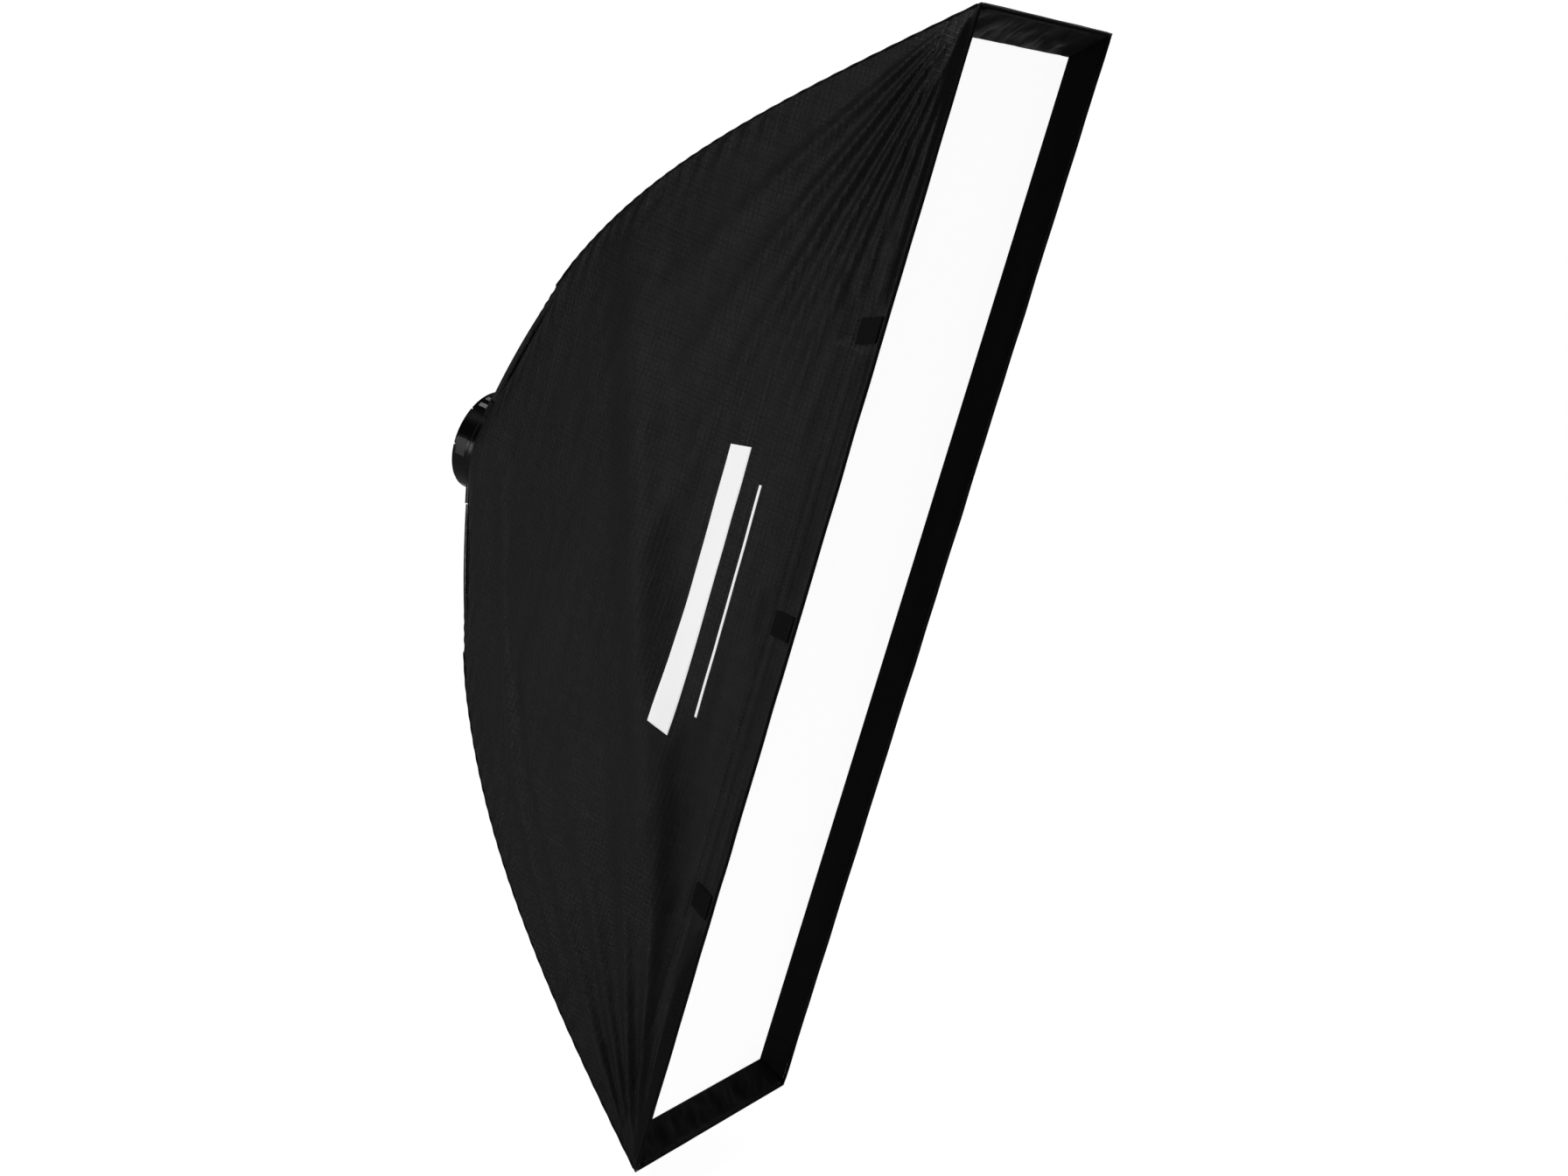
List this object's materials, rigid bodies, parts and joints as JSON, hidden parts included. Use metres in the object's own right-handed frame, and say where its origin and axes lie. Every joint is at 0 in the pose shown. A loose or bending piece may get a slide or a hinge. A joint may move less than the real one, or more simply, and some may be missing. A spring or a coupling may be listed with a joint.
{
  "type": "strip softbox",
  "caption": "Long narrow softbox on a clamp ring: bent rods tension a black fabric box with a recessed white front diffuser and an inner baffle.",
  "frame": {"origin": "centre of the clamp ring's rear face, on the bore's axis", "axes": "+Y along the bore back towards the flash, +Z along the long side of the box, +X to the right seen from the front; the front lip lies at negative Y"},
  "size_m": [0.303, 0.5028, 1.2],
  "materials": {
    "gloss_black": "gloss",
    "black_rubber": "matt",
    "grey_inlay": "satin",
    "steel": "brushed",
    "black_knob": "satin",
    "black_grip": "gloss",
    "webbing": "ribbed webbing",
    "fibreglass": "satin",
    "shell_fabric": "ripstop nylon with a soft sheen",
    "hook_loop": "hook and loop",
    "border_fabric": "soft matt nylon",
    "white_diffusion": "white diffusion cloth",
    "elastic": "woven elastic",
    "snap_metal": "polished"
  },
  "bodies": {
    "clamp_ring": {"mount_sleeve": "gloss_black", "bore_liner": "black_rubber", "clamp_band": "gloss_black", "grip_pad": "grey_inlay", "index_marks": "grey_inlay", "tie_bolt": "steel", "thrust_washers": "steel", "lever_pin": "steel", "friction_ring": "black_rubber", "retaining_ring": "steel"},
    "lever": {"clamp_lever": "gloss_black"},
    "nut": {"thumb_nut": "black_knob"},
    "flap_upper": {"access_flap_upper": "shell_fabric"},
    "flap_lower": {"access_flap_lower": "shell_fabric"},
    "front_screen": {"front_diffuser": "white_diffusion", "diffuser_border": "border_fabric", "loop_tapes": "hook_loop"},
    "box": {"corner_pocket_lower_left": "webbing", "corner_pocket_lower_right": "webbing", "corner_pocket_upper_left": "webbing", "corner_pocket_upper_right": "webbing", "end_panel_lower": "shell_fabric", "end_panel_upper": "shell_fabric", "grid_tab_lower": "hook_loop", "grid_tab_upper": "hook_loop", "grid_tabs_left": "hook_loop", "grid_tabs_right": "hook_loop", "hook_tape_left": "hook_loop", "hook_tape_lower": "hook_loop", "hook_tape_right": "hook_loop", "hook_tape_upper": "hook_loop", "inner_diffuser": "white_diffusion", "inner_straps": "elastic", "ring_cuff": "webbing", "rod_grip_lower_left": "black_grip", "rod_grip_lower_right": "black_grip", "rod_grip_upper_left": "black_grip", "rod_grip_upper_right": "black_grip", "rod_lower_left": "fibreglass", "rod_lower_right": "fibreglass", "rod_ring": "gloss_black", "rod_sleeve_lower_left": "webbing", "rod_sleeve_lower_right": "webbing", "rod_sleeve_upper_left": "webbing", "rod_sleeve_upper_right": "webbing", "rod_tip_lower_left": "black_grip", "rod_tip_lower_right": "black_grip", "rod_tip_upper_left": "black_grip", "rod_tip_upper_right": "black_grip", "rod_upper_left": "fibreglass", "rod_upper_right": "fibreglass", "side_panel_left": "shell_fabric", "side_panel_right": "shell_fabric", "strap_snaps": "snap_metal"}
  },
  "joints": [
    {"name": "ring_rotation", "type": "hinge", "parent": "clamp_ring", "child": "box", "pos_m": [0, -0.0325, 0], "axis": [0, 1, 0], "continuous": true},
    {"name": "clamp_lever", "type": "hinge", "parent": "clamp_ring", "child": "lever", "pos_m": [0.063, -0.01, 0.01785], "axis": [0, 1, 0], "range_deg": [0, 120]},
    {"name": "nut_turn", "type": "hinge", "parent": "clamp_ring", "child": "nut", "pos_m": [0.063, -0.01, -0.015], "axis": [0, 0, 1], "continuous": true},
    {"name": "flap_upper_fold", "type": "hinge", "parent": "box", "child": "flap_upper", "pos_m": [0, -0.08718, 0.20437], "axis": [1, 0, 0], "range_deg": [0, 95]},
    {"name": "flap_lower_fold", "type": "hinge", "parent": "box", "child": "flap_lower", "pos_m": [0, -0.08718, -0.20437], "axis": [-1, 0, 0], "range_deg": [0, 95]},
    {"name": "front_screen_release", "type": "slide", "parent": "box", "child": "front_screen", "axis": [0, -1, 0], "range_m": [0, 0.15]}
  ]
}
